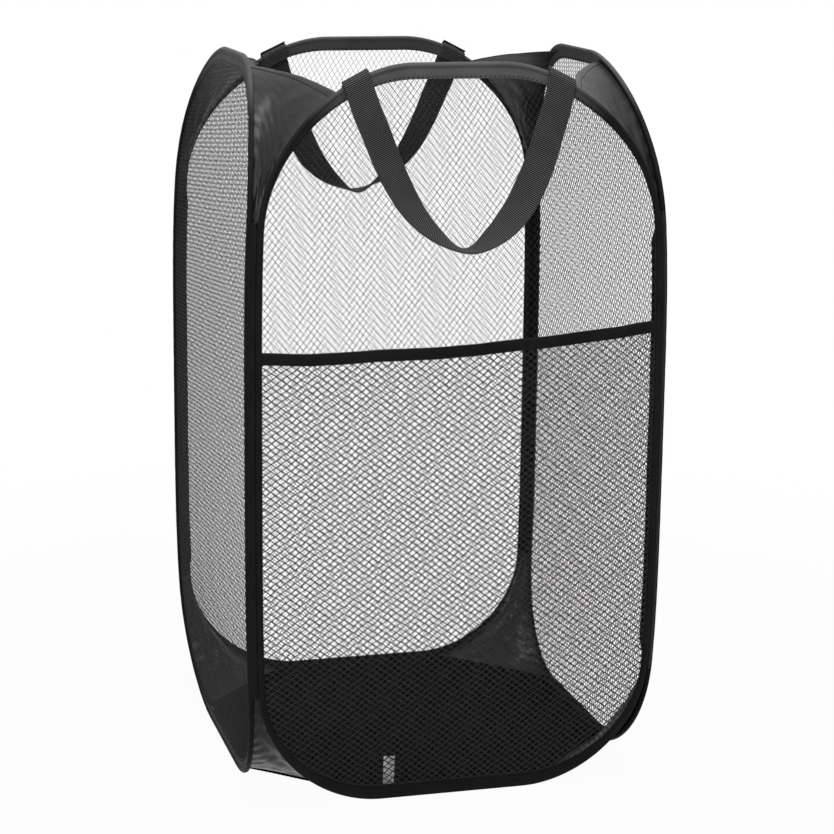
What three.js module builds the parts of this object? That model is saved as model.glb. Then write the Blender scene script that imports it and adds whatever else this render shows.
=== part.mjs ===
// A pop up laundry hamper: four netted panels, each stretched in a loop of spring wire,
// joined at their upright edges so that the square folds flat like a parallelogram.
// Millimetres, +Z up. The origin is on the floor under the middle of the hamper.
// The front panel faces -Y, the right one +X, the back one +Y and the left one -X.
import * as THREE from 'three';

// Driving sizes of the whole hamper
const hamperHeight = 610;
const planSize = 350;          // from the middle of one panel to the middle of the opposite one
const foldInset = 5;           // from a panel's middle plane in to the fold line at its edge
const topRadius = 129;         // corner radius of a loop at the mouth
const bottomRadius = 104;      // corner radius of a loop at the floor
const topLean = 24;            // how far a loop leans in at the mouth
const bottomLean = 12;         // how far a loop leans in at the floor
const leanPower = 4;           // the lean grows with this power of the height from the middle
const clearance = 0.3;         // left between pieces that touch

// Spring wire and the sleeve that joins its two ends
const wireDiameter = 1.6;
const wireSides = 5;
const wireInset = 3;           // from the loop's outer edge to the wire's axis
const wireEndGap = 0.8;
const ferruleWall = 0.4;
const ferruleLength = 24;
const ferruleSides = 8;

// Tape folded over the wire and the edge of the net
const tapeThickness = 0.5;
const bindingWidth = 13;
const sideBindingWidth = 7;    // at the upright edges, where the seam takes the rest of the tape
const bindingNeck = 4;         // the part of the fold that is as wide everywhere
const bindingShoulder = 5;     // width of the full part of the fold, around the wire
const bindingRoom = 0.3;       // slack between the sleeve and the folded tape

// Net, drawn with far fewer and larger openings than the woven one
const netThickness = 0.6;
const netTuck = 6;             // how deep a net's edge sits in its binding
const netRim = 1;              // plain edge of a net beyond its binding
const openingSlack = 2;        // how unevenly the openings are cut off at the edge
const netPitch = 78;           // from the middle of one opening to the next in its row
const netStrand = 5;
const smallestOpeningShare = 0.12;

// Pocket on the lower part of the front
const pocketLeftDrop = 224;    // from the rim's top edge down to the pocket's mouth at its left end
const pocketRightDrop = 210;
const pocketBulge = 22;        // how far the pocket's mouth stands off the front
const pocketPower = 1.3;       // the pocket opens with this power of the height
const pocketPitch = 86;
const pocketTapeWidth = 10;
const pocketTapeThickness = 0.4;
const pocketTapeEnd = 4;       // from where the pocket leaves the binding to its tape's end
const pocketSteps = 10;

// Webbing handles
const webWidth = 25;
const webThickness = 1.5;
const handleInset = 73.7;      // from a loop's upright edge to the middle of a handle's end
const handleDrop = 146;        // from the top of the rim to the lowest point of the strap
const handleStandoff = 14.5;   // from the panel to the middle of the strap at its lowest point
const handleStart = 3;         // from the rim's top edge to the fold where the strap swings
const tabDepth = 12;           // how far each end of the webbing is folded over the rim
const strapSteps = 24;

// Base, gussets and tag
const baseThickness = 0.8;
const gussetThickness = 0.8;
const gussetSeam = 6;          // from the loop's outer edge to the gusset's seam
const gussetSag = 9;           // how far a top gusset is drawn in between its two loops
const gussetStartAngle = 10;   // degrees up the corner arc, past the upright seam
const gussetHemGap = 2;        // between the hemmed edge of a top gusset and a handle's end
const gussetSideAngle = 80;    // degrees up the arc to that edge on a panel with no handle
const gussetFootAngle = 84;    // degrees down the arc to the lower edge of a bottom gusset
const gussetRows = 8;
const gussetColumns = 4;
const seamThickness = 1.4;
const seamDepth = 11;          // how far the joined tapes are turned in at an upright corner
const seamEndDepth = 4;        // the same at the two ends of the seam
const tagWidth = 10;
const tagHeight = 27;
const tagLower = 10.5;
const tagOffset = -59;         // from the middle of the front to the middle of the tag
const tagThickness = 0.3;

// How finely the curves are divided
const arcSteps = 7;
const sideSteps = 8;
const levelSteps = 2;
const bowShare = 0.02;         // how far straight edges are bowed in while faces are laid out
const unevenShare = 0.618;     // steps from one opening's unevenness to the next one's

// Names of the panels, and of the corners to the left of each as it is faced
const panels = ['front', 'right', 'back', 'left'];
const corners = ['front_left', 'front_right', 'back_right', 'back_left'];

// Sizes that follow from those above
const half = planSize / 2;
const foldLine = half - foldInset;
const loopHalf = foldLine - clearance;
const middleHeight = hamperHeight / 2;
const wireRadius = wireDiameter / 2;
const ferruleInner = wireRadius + clearance;
const ferruleOuter = ferruleInner + ferruleWall;
const bindingHalf = ferruleOuter + bindingRoom + tapeThickness;
const netEdge = bindingWidth - netTuck;
const netBand = bindingWidth + netRim;
const layerOffset = netThickness / 2 + clearance;   // on the front two nets lie side by side
const pocketLeftHeight = hamperHeight - pocketLeftDrop;
const pocketRightHeight = hamperHeight - pocketRightDrop;
const handleReach = loopHalf - handleInset;
const endAngle = Math.acos((handleReach - (loopHalf - topRadius)) / topRadius);
const gussetHemAngle = THREE.MathUtils.radToDeg(endAngle - (webWidth / 2 + gussetHemGap) / topRadius);

// Shared ways of working

function leanAt(height) {
  const share = (height - middleHeight) / middleHeight;
  const reach = share > 0 ? topLean : bottomLean;
  return reach * Math.abs(share) ** leanPower;
}

// A place on the front panel: u across it, v up it and n out of it
function onPanel(u, v, n) {
  const lean = leanAt(v);
  return new THREE.Vector3(u * (1 - lean / half), -(half - lean + n), v);
}

// An inset from a loop's upright edge: the fold of tape is narrower there
function sideInset(inset) {
  const share = (sideBindingWidth - bindingNeck) / (bindingWidth - bindingNeck);
  return Math.min(inset, bindingNeck) + Math.max(0, inset - bindingNeck) * share;
}

// The loop's outline, a given distance in from its outer edge, from the middle of the
// bottom round by the right side and back
function loopPoints(inset) {
  const corners = [
    { u: loopHalf - bottomRadius, v: bottomRadius, radius: bottomRadius, from: -90, steps: sideSteps },
    { u: loopHalf - topRadius, v: hamperHeight - topRadius, radius: topRadius, from: 0, steps: levelSteps },
    { u: topRadius - loopHalf, v: hamperHeight - topRadius, radius: topRadius, from: 90, steps: sideSteps },
    { u: bottomRadius - loopHalf, v: bottomRadius, radius: bottomRadius, from: 180, steps: levelSteps },
  ];
  const arcs = corners.map((corner) => {
    const points = [];
    for (let step = 0; step <= arcSteps; step += 1) {
      const turn = THREE.MathUtils.degToRad(corner.from + (90 * step) / arcSteps);
      const across = corner.radius - sideInset(inset);
      const up = corner.radius - inset;
      points.push(new THREE.Vector2(corner.u + across * Math.cos(turn), corner.v + up * Math.sin(turn)));
    }
    return points;
  });
  const outline = [];
  arcs.forEach((arc, index) => {
    const next = arcs[(index + 1) % arcs.length][0];
    outline.push(...arc);
    for (let step = 1; step < corners[index].steps; step += 1) {
      outline.push(arc[arcSteps].clone().lerp(next, step / corners[index].steps));
    }
  });
  return outline;
}

// A closed body from points and triangles, with its faces turned outwards
function bodyGeometry(points, triangles) {
  const a = new THREE.Vector3();
  let volume = 0;
  for (const [i, j, k] of triangles) {
    volume += points[i].dot(a.crossVectors(points[j], points[k]));
  }
  const index = [];
  for (const [i, j, k] of triangles) {
    index.push(i, volume > 0 ? j : k, volume > 0 ? k : j);
  }
  const geometry = new THREE.BufferGeometry();
  geometry.setAttribute('position', new THREE.Float32BufferAttribute(points.flatMap((p) => p.toArray()), 3));
  geometry.setIndex(index);
  geometry.computeVertexNormals();
  return geometry;
}

// A body through rings of points: a full ring of rings, or a run with a flat cap at each end.
// The two halves of a ring are split into triangles alike, so that the walls of a twisted
// strap stay side by side
function ringBody(rings, capOutline) {
  const size = rings[0].length;
  const triangles = [];
  const runs = capOutline ? rings.length - 1 : rings.length;
  for (let ring = 0; ring < runs; ring += 1) {
    const here = ring * size;
    const there = ((ring + 1) % rings.length) * size;
    for (let side = 0; side < size; side += 1) {
      const next = (side + 1) % size;
      if (side < size / 2) {
        triangles.push([here + side, here + next, there + next]);
        triangles.push([here + side, there + next, there + side]);
      } else {
        triangles.push([here + side, here + next, there + side]);
        triangles.push([here + next, there + next, there + side]);
      }
    }
  }
  if (capOutline) {
    const last = (rings.length - 1) * size;
    const clockwise = THREE.ShapeUtils.isClockWise(capOutline);
    for (const [i, j, k] of THREE.ShapeUtils.triangulateShape(capOutline, [])) {
      const face = clockwise ? [i, j, k] : [i, k, j];
      triangles.push(face);
      triangles.push([last + face[0], last + face[2], last + face[1]]);
    }
    alignCaps(triangles, runs * size * 2);
  }
  return bodyGeometry(rings.flat(), triangles);
}

// Turns the caps of a run the way that its sides are turned, edge against edge
function alignCaps(triangles, capStart) {
  const [i, j] = triangles[0];
  const same = triangles.slice(capStart).some(([a, b, c]) => (
    (a === i && b === j) || (b === i && c === j) || (c === i && a === j)));
  if (same) {
    for (let cap = capStart; cap < triangles.length; cap += 1) {
      triangles[cap].reverse();
    }
  }
}

// A thin shell about a grid of points, as thick as stated
function shellBody(grid, thickness) {
  const rows = grid.length;
  const columns = grid[0].length;
  const points = [];
  const along = new THREE.Vector3();
  const across = new THREE.Vector3();
  for (const side of [1, -1]) {
    for (let row = 0; row < rows; row += 1) {
      for (let column = 0; column < columns; column += 1) {
        along.subVectors(grid[Math.min(row + 1, rows - 1)][column], grid[Math.max(row - 1, 0)][column]);
        across.subVectors(grid[row][Math.min(column + 1, columns - 1)], grid[row][Math.max(column - 1, 0)]);
        const normal = new THREE.Vector3().crossVectors(along, across).normalize();
        points.push(grid[row][column].clone().addScaledVector(normal, (side * thickness) / 2));
      }
    }
  }
  const count = rows * columns;
  const at = (row, column) => row * columns + column;
  const triangles = [];
  for (let row = 0; row < rows - 1; row += 1) {
    for (let column = 0; column < columns - 1; column += 1) {
      const [a, b] = [at(row, column), at(row + 1, column)];
      const [c, d] = [at(row + 1, column + 1), at(row, column + 1)];
      triangles.push([a, b, c], [a, c, d]);
      triangles.push([a + count, c + count, b + count], [a + count, d + count, c + count]);
    }
  }
  const edge = [];
  for (let row = 0; row < rows - 1; row += 1) {
    edge.push(at(row, 0));
  }
  for (let column = 0; column < columns - 1; column += 1) {
    edge.push(at(rows - 1, column));
  }
  for (let row = rows - 1; row > 0; row -= 1) {
    edge.push(at(row, columns - 1));
  }
  for (let column = columns - 1; column > 0; column -= 1) {
    edge.push(at(0, column));
  }
  edge.forEach((here, index) => {
    const next = edge[(index + 1) % edge.length];
    triangles.push([next, here, here + count], [next, here + count, next + count]);
  });
  return bodyGeometry(points, triangles);
}

// A place with straight edges bowed in a little, so that no corner on them is passed over
// when the faces are laid out
function bowed(point) {
  const across = point.x / half;
  const up = (point.y - middleHeight) / middleHeight;
  return new THREE.Vector2(
    point.x * (1 - bowShare * (1 - up * up)),
    middleHeight + (point.y - middleHeight) * (1 - bowShare * (1 - across * across)));
}

// A thin net from its outline, a plain band inside that, and its openings
function netBody(outline, band, openings, place) {
  const flat = [...outline, ...band, ...openings.flat()];
  const faces = [];
  outline.forEach((point, index) => {
    const next = (index + 1) % outline.length;
    const inner = outline.length;
    if (point.distanceTo(band[next]) < outline[next].distanceTo(band[index])) {
      faces.push([index, next, inner + next], [index, inner + next, inner + index]);
    } else {
      faces.push([index, next, inner + index], [next, inner + next, inner + index]);
    }
  });
  const holes = openings.map((opening) => opening.map(bowed));
  for (const face of THREE.ShapeUtils.triangulateShape(band.map(bowed), holes)) {
    faces.push(face.map((corner) => corner + outline.length));
  }
  const laid = flat.map(bowed);
  const area = (i, j, k) => (laid[j].x - laid[i].x) * (laid[k].y - laid[i].y)
    - (laid[k].x - laid[i].x) * (laid[j].y - laid[i].y);
  const count = flat.length;
  const triangles = [];
  for (const [i, j, k] of faces) {
    const face = area(i, j, k) > 0 ? [i, j, k] : [i, k, j];
    triangles.push(face, [face[0] + count, face[2] + count, face[1] + count]);
  }
  const walls = [outline.map((point, index) => index)];
  let start = outline.length + band.length;
  for (const opening of openings) {
    const clockwise = THREE.ShapeUtils.isClockWise(opening);
    const loop = opening.map((point, index) => start + index);
    walls.push(clockwise ? loop : loop.reverse());
    start += opening.length;
  }
  for (const loop of walls) {
    loop.forEach((here, index) => {
      const next = loop[(index + 1) % loop.length];
      triangles.push([next, here, here + count], [next, here + count, next + count]);
    });
  }
  const points = [];
  for (const side of [1, -1]) {
    points.push(...flat.map((point) => place(point.x, point.y, (side * netThickness) / 2)));
  }
  return bodyGeometry(points, triangles);
}

// Keeps the part of a convex outline that lies inside a convex border
function clipped(outline, border) {
  let kept = outline;
  border.forEach((from, index) => {
    const to = border[(index + 1) % border.length];
    const inside = (p) => (to.x - from.x) * (p.y - from.y) - (to.y - from.y) * (p.x - from.x);
    const result = [];
    kept.forEach((point, place) => {
      const next = kept[(place + 1) % kept.length];
      const here = inside(point);
      const there = inside(next);
      if (here >= 0) result.push(point);
      if (here * there < 0) result.push(point.clone().lerp(next, here / (here - there)));
    });
    kept = result;
  });
  return kept;
}

// The diamond openings of a net, each cut off a little differently where it meets the border
function diamondOpenings(borderAt, pitch, centre) {
  const reach = pitch / 2 - netStrand / Math.SQRT2;
  const openings = [];
  const rows = Math.ceil(hamperHeight / pitch) + 1;
  for (let row = -rows; row <= rows; row += 1) {
    for (let column = -rows; column <= rows; column += 1) {
      const u = (column + (row % 2 ? 1 / 2 : 0)) * pitch;
      const v = centre + (row * pitch) / 2;
      const diamond = [[reach, 0], [0, reach], [-reach, 0], [0, -reach]]
        .map(([x, y]) => new THREE.Vector2(u + x, v + y));
      const uneven = THREE.MathUtils.euclideanModulo((row * rows + column) * unevenShare, 1);
      const border = borderAt(clearance + uneven * openingSlack);
      const opening = clipped(diamond, border).filter((point, index, all) => (
        point.distanceTo(all[(index + 1) % all.length]) > netThickness));
      if (opening.length < 3) continue;
      const area = Math.abs(THREE.ShapeUtils.area(opening));
      if (area > smallestOpeningShare * 2 * reach * reach) openings.push(opening);
    }
  }
  return openings;
}

const finishes = {
  tape: { color: 0x1d1d1f, roughness: 0.75, metalness: 0 },
  net: { color: 0x1a1a1b, roughness: 0.8, metalness: 0 },
  taffeta: { color: 0x1b1b1d, roughness: 0.45, metalness: 0 },
  webbing: { color: 0x161617, roughness: 0.85, metalness: 0 },
  steel: { color: 0x9a9ca0, roughness: 0.35, metalness: 1 },
  sleeve: { color: 0xb4b6b8, roughness: 0.4, metalness: 1 },
  tag: { color: 0xe6e6e4, roughness: 0.7, metalness: 0 },
};

function piece(name, geometry, finish) {
  const mesh = new THREE.Mesh(geometry, new THREE.MeshStandardMaterial(finishes[finish]));
  mesh.name = name;
  return mesh;
}

// Pieces that every panel has

// The wire runs round the loop from one side of its gap to the other
function frameWire() {
  const section = [];
  for (let side = 0; side < wireSides; side += 1) {
    const turn = (2 * Math.PI * side) / wireSides;
    section.push(new THREE.Vector2(wireInset + wireRadius * Math.cos(turn), wireRadius * Math.sin(turn)));
  }
  const loops = section.map((corner) => loopPoints(corner.x));
  const last = loops[0].length - 1;
  const ring = (place) => section.map((corner, side) => {
    const point = loops[side][Math.min(Math.max(place, 0), last)];
    if (place < 0) return onPanel(wireEndGap / 2, point.y, corner.y);
    if (place === last) return onPanel(-wireEndGap / 2, point.y, corner.y);
    return onPanel(point.x, point.y, corner.y);
  });
  const rings = [];
  for (let place = -1; place <= last; place += 1) {
    rings.push(ring(place));
  }
  return ringBody(rings, section);
}

// The sleeve crimped over the wire's two ends, in the middle of the bottom
function wireFerrule() {
  const section = [[-1, ferruleInner], [1, ferruleInner], [1, ferruleOuter], [-1, ferruleOuter]];
  const rings = [];
  for (let side = 0; side < ferruleSides; side += 1) {
    const turn = (2 * Math.PI * side) / ferruleSides;
    rings.push(section.map(([end, radius]) => onPanel(
      (end * ferruleLength) / 2, wireInset + radius * Math.cos(turn), radius * Math.sin(turn))));
  }
  return ringBody(rings, null);
}

// Tape folded over the wire, open towards the net that its two lips hold
function rimBinding(netLayers) {
  const lip = netLayers * layerOffset;
  const inner = bindingHalf - tapeThickness;
  const fold = wireInset - ferruleOuter - bindingRoom;
  const upper = [
    [0, bindingHalf],
    [bindingShoulder, bindingHalf],
    [bindingWidth, lip + tapeThickness],
    [bindingWidth, lip],
    [bindingShoulder, inner],
    [fold, inner],
  ];
  const lower = upper.map(([inset, out]) => [inset, -out]).reverse();
  const section = [...upper, ...lower];
  const loops = section.map(([inset]) => loopPoints(inset));
  const rings = loops[0].map((point, place) => section.map(([, out], side) => (
    onPanel(loops[side][place].x, loops[side][place].y, out))));
  return ringBody(rings, null);
}

function panelNet(layer) {
  const openings = diamondOpenings((extra) => loopPoints(netBand + extra), netPitch, middleHeight);
  return netBody(loopPoints(netEdge), loopPoints(netBand), openings, (u, v, n) => onPanel(u, v, layer + n));
}

// Pieces of one panel only

const pocketHalf = loopHalf - sideInset(netBand);

function pocketTop(u) {
  return (pocketLeftHeight + pocketRightHeight) / 2
    + ((pocketRightHeight - pocketLeftHeight) * u) / (2 * pocketHalf);
}

// The height at which the pocket's net leaves the binding, round the lower corners
function pocketFloor(u) {
  const across = bottomRadius - sideInset(netBand);
  const past = Math.max(0, Math.abs(u) - (loopHalf - bottomRadius)) / across;
  return bottomRadius - (bottomRadius - netBand) * Math.sqrt(Math.max(0, 1 - past * past));
}

// A place on the pocket, which stands off the front more and more towards its mouth
function onPocket(u, v, n) {
  const across = Math.max(0, 1 - (u / pocketHalf) ** 2);
  const up = Math.max(0, (v - pocketFloor(u)) / (pocketLeftHeight - pocketFloor(u)));
  return onPanel(u, v, layerOffset + pocketBulge * across * up ** pocketPower + n);
}

// Places across the pocket's mouth, from the right edge to the left
function pocketStations(reach) {
  const near = pocketHalf * (1 - 1 / pocketSteps);
  const edge = reach > pocketHalf ? pocketHalf : (reach + near) / 2;
  const inner = [];
  for (let step = 1; step < pocketSteps; step += 1) {
    inner.push(pocketHalf * (1 - (2 * step) / pocketSteps));
  }
  return [reach, edge, near, ...inner, -near, -edge, -reach];
}

// The lower part of an outline, closed by a straight edge under the pocket's tape
function pocketOutline(inset, below) {
  const loop = loopPoints(inset);
  const last = loop.length - 1;
  const limit = Math.min(pocketLeftHeight, pocketRightHeight) - pocketTapeWidth * 2;
  const right = loop.filter((point, index) => index < last / 2 && point.y < limit);
  const left = loop.filter((point, index) => index >= last / 2 && point.y < limit);
  const stations = pocketStations(loopHalf - sideInset(inset));
  const top = stations.map((u) => new THREE.Vector2(u, pocketTop(u) - below));
  return [...right, ...top, ...left];
}

function pocketNet() {
  const tuck = pocketTapeThickness + clearance;
  const band = pocketOutline(netBand, pocketTapeWidth + netRim);
  const borderAt = (extra) => pocketOutline(netBand + extra, pocketTapeWidth + netRim + extra);
  const openings = diamondOpenings(borderAt, pocketPitch, pocketLeftHeight / 2);
  return netBody(pocketOutline(netEdge, tuck), band, openings, onPocket);
}

// Tape folded over the pocket's upper edge, open downwards
function pocketBinding() {
  const slot = netThickness / 2 + clearance;
  const outer = slot + pocketTapeThickness;
  const section = [
    [0, outer], [pocketTapeWidth, outer], [pocketTapeWidth, slot], [pocketTapeThickness, slot],
    [pocketTapeThickness, -slot], [pocketTapeWidth, -slot], [pocketTapeWidth, -outer], [0, -outer],
  ].map(([down, out]) => new THREE.Vector2(down, out));
  const rings = pocketStations(pocketHalf - pocketTapeEnd).map((u) => (
    section.map((corner) => onPocket(u, pocketTop(u) - corner.x, corner.y))));
  return ringBody(rings, section);
}

// A bare tag sewn to the inside of the front's lower binding
function blankTag() {
  const out = -(bindingHalf + tagThickness / 2);
  const section = [[-1, -1], [1, -1], [1, 1], [-1, 1]].map(([x, y]) => (
    new THREE.Vector2((x * tagWidth) / 2, (y * tagThickness) / 2)));
  const rings = [];
  for (let step = 0; step <= levelSteps; step += 1) {
    const v = tagLower + (tagHeight * step) / levelSteps;
    rings.push(section.map((corner) => onPanel(tagOffset + corner.x, v, out + corner.y)));
  }
  return ringBody(rings, section);
}

// Handles, made for the front panel and turned half round for the back one

const tabFace = bindingHalf + clearance;
const strapFace = tabFace + webThickness + clearance + webThickness / 2;

// A place by a handle's end: side is 1 at the right end and -1 at the left, along runs
// beside the rim and inset runs down from its top edge
function atHandleEnd(side, along, inset, out) {
  const radius = topRadius - inset;
  const u = loopHalf - topRadius + radius * Math.cos(endAngle) - along * Math.sin(endAngle);
  const v = hamperHeight - topRadius + radius * Math.sin(endAngle) + along * Math.cos(endAngle);
  return onPanel(side * u, v, out);
}

// The webbing's end, folded over the rim and stitched through it
function handleTab(side) {
  const top = -clearance;
  const section = [
    [tabDepth, tabFace], [top, tabFace], [top, -tabFace], [tabDepth, -tabFace],
    [tabDepth, -tabFace - webThickness], [top - webThickness, -tabFace - webThickness],
    [top - webThickness, tabFace + webThickness], [tabDepth, tabFace + webThickness],
  ].map(([inset, out]) => new THREE.Vector2(inset, out));
  const rings = [-1, 0, 1].map((share) => section.map((corner) => (
    atHandleEnd(side, (share * webWidth) / 2, corner.x, corner.y))));
  return ringBody(rings, section);
}

// Half of the strap's line, from its end to the middle: how far out from the middle, how
// far down and how far turned on edge, as shares of the whole reach, drop and quarter turn
const strapReachShares = [1, 0.905, 0.8, 0.7, 0.585, 0.45, 0.25, 0];
const strapDropShares = [0, 0.15, 0.3, 0.46, 0.62, 0.77, 0.91, 1];
const strapTurnShares = [0, 0, 0.04, 0.12, 0.23, 0.42, 0.7, 1];

function shareAt(shares, share) {
  const place = share * (shares.length - 1);
  const low = Math.min(Math.floor(place), shares.length - 2);
  return THREE.MathUtils.lerp(shares[low], shares[low + 1], place - low);
}

// The swinging strap: flat against the panel at its ends and on edge at its lowest point
function handleStrap() {
  const startRadius = topRadius - handleStart;
  const reach = loopHalf - topRadius + startRadius * Math.cos(endAngle);
  const start = hamperHeight - topRadius + startRadius * Math.sin(endAngle);
  const lowest = hamperHeight - handleDrop;
  const rightHalf = strapReachShares.map((share, place) => new THREE.Vector3(
    share * reach,
    THREE.MathUtils.lerp(start, lowest, strapDropShares[place]),
    THREE.MathUtils.lerp(strapFace, handleStandoff, strapTurnShares[place])));
  const leftHalf = rightHalf.slice(0, -1).reverse().map((point) => (
    new THREE.Vector3(-point.x, point.y, point.z)));
  const path = new THREE.CatmullRomCurve3([...rightHalf, ...leftHalf]);
  const section = [[-1, -1], [1, -1], [1, 1], [-1, 1]].map(([x, y]) => (
    new THREE.Vector2((x * webWidth) / 2, (y * webThickness) / 2)));
  const outward = new THREE.Vector3(0, 0, 1);
  const rings = [];
  for (let step = 0; step <= strapSteps; step += 1) {
    const point = path.getPoint(step / strapSteps);
    const tangent = path.getTangent(step / strapSteps).setZ(0).normalize();
    const beside = new THREE.Vector3(-tangent.y, tangent.x, 0);
    const turn = (shareAt(strapTurnShares, 1 - Math.abs(1 - (2 * step) / strapSteps)) * Math.PI) / 2;
    const wide = beside.clone().multiplyScalar(Math.cos(turn)).addScaledVector(outward, Math.sin(turn));
    const thick = outward.clone().multiplyScalar(Math.cos(turn)).addScaledVector(beside, -Math.sin(turn));
    rings.push(section.map((corner) => {
      const place = point.clone().addScaledVector(wide, corner.x).addScaledVector(thick, corner.y);
      return onPanel(place.x, place.y, place.z);
    }));
  }
  return ringBody(rings, section);
}

// Pieces at a corner, made for the one between the left and front panels and turned round

// The same place on the left panel, mirrored across the corner's diagonal
function mirrored(point) {
  return new THREE.Vector3(point.y, point.x, point.z);
}

// The seam at an upright corner folds with the two panels: a strip joins the two bindings,
// and the tapes' joined edges are turned in from its middle
function cornerSeam() {
  const lower = bottomRadius;
  const upper = hamperHeight - topRadius;
  const inwards = new THREE.Vector3(Math.SQRT1_2, Math.SQRT1_2, 0);
  const across = new THREE.Vector3(Math.SQRT1_2, -Math.SQRT1_2, 0);
  const rings = [];
  for (let step = 0; step <= sideSteps; step += 1) {
    const v = THREE.MathUtils.lerp(lower, upper, step / sideSteps);
    const outer = onPanel(-foldLine, v, seamThickness / 2);
    const inner = onPanel(-foldLine, v, -seamThickness / 2);
    const depth = step % sideSteps ? seamDepth : seamEndDepth;
    const root = inner.clone().lerp(mirrored(inner), 1 / 2).addScaledVector(across, seamThickness / 2);
    const tip = root.clone().addScaledVector(inwards, depth);
    rings.push([
      outer, inner, root, tip, mirrored(tip), mirrored(root), mirrored(inner), mirrored(outer),
    ]);
  }
  return ringBody(rings, rings[0].map((point) => new THREE.Vector2(point.x, point.y)));
}

// A point on the line where a gusset is sewn to the front loop's inner face
function gussetPoint(angle, atTop) {
  const radius = atTop ? topRadius : bottomRadius;
  const turn = THREE.MathUtils.degToRad(angle);
  const reach = radius - gussetSeam;
  const u = -(loopHalf - radius + reach * Math.cos(turn));
  const rise = reach * Math.sin(turn);
  const v = atTop ? hamperHeight - topRadius + rise : bottomRadius - rise;
  return onPanel(u, v, -(bindingHalf + clearance + gussetThickness / 2));
}

// A membrane stretched across the corner between the arcs of two loops. At the top it
// reaches higher on the panel that has no handle, which is the first one at every other corner
function gusset(atTop, quarter) {
  const handleAngle = atTop ? gussetHemAngle : gussetFootAngle;
  const sideAngle = atTop ? gussetSideAngle : gussetFootAngle;
  const firstAngle = quarter % 2 ? sideAngle : handleAngle;
  const otherAngle = quarter % 2 ? handleAngle : sideAngle;
  const grid = [];
  for (let row = 0; row <= gussetRows; row += 1) {
    const share = row / gussetRows;
    const start = gussetPoint(THREE.MathUtils.lerp(gussetStartAngle, firstAngle, share), atTop);
    const end = mirrored(gussetPoint(THREE.MathUtils.lerp(gussetStartAngle, otherAngle, share), atTop));
    const line = [];
    for (let column = 0; column <= gussetColumns; column += 1) {
      const along = column / gussetColumns;
      const sag = atTop ? gussetSag * Math.sin(Math.PI * along) * Math.sin((Math.PI / 2) * share) : 0;
      const inwards = new THREE.Vector3(sag * Math.SQRT1_2, sag * Math.SQRT1_2, 0);
      line.push(start.clone().lerp(end, along).add(inwards));
    }
    grid.push(line);
  }
  return shellBody(grid, gussetThickness);
}

// The floor of the hamper: a square with its corners cut off where the gussets rise
function basePanel() {
  const lean = leanAt(0);
  const reach = half - lean - bindingHalf - clearance;
  const cut = (loopHalf - bottomRadius) * (1 - lean / half);
  const middle = new THREE.Vector2();
  const corners = [];
  for (let quarter = 0; quarter < panels.length; quarter += 1) {
    for (const side of [-1, 1]) {
      corners.push(new THREE.Vector2(side * cut, -reach).rotateAround(middle, (quarter * Math.PI) / 2));
    }
  }
  return new THREE.ExtrudeGeometry(new THREE.Shape(corners), { depth: baseThickness, bevelEnabled: false });
}

// The whole hamper

const hamper = new THREE.Group();

panels.forEach((panel, quarter) => {
  const group = new THREE.Group();
  group.rotation.z = (quarter * Math.PI) / 2;
  const layers = panel === 'front' ? 2 : 1;
  group.add(piece(`${panel}_frame_wire`, frameWire(), 'steel'));
  group.add(piece(`${panel}_wire_ferrule`, wireFerrule(), 'sleeve'));
  group.add(piece(`${panel}_rim_binding`, rimBinding(layers), 'tape'));
  group.add(piece(`${panel}_net`, panelNet(panel === 'front' ? -layerOffset : 0), 'net'));
  if (panel === 'front' || panel === 'back') {
    group.add(piece(`${panel}_handle_right_tab`, handleTab(panel === 'front' ? 1 : -1), 'webbing'));
    group.add(piece(`${panel}_handle_left_tab`, handleTab(panel === 'front' ? -1 : 1), 'webbing'));
    group.add(piece(`${panel}_handle_strap`, handleStrap(), 'webbing'));
  }
  if (panel === 'front') {
    group.add(piece('pocket_net', pocketNet(), 'net'));
    group.add(piece('pocket_binding', pocketBinding(), 'tape'));
    group.add(piece('blank_tag', blankTag(), 'tag'));
  }
  hamper.add(group);
});

corners.forEach((corner, quarter) => {
  const group = new THREE.Group();
  group.rotation.z = (quarter * Math.PI) / 2;
  group.add(piece(`${corner}_corner_seam`, cornerSeam(), 'tape'));
  group.add(piece(`${corner}_top_gusset`, gusset(true, quarter), 'taffeta'));
  group.add(piece(`${corner}_bottom_gusset`, gusset(false, quarter), 'taffeta'));
  hamper.add(group);
});

hamper.add(piece('base_panel', basePanel(), 'taffeta'));

export default hamper;
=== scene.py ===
import math

import bmesh
import bpy
from mathutils import Matrix, Vector, noise


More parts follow.
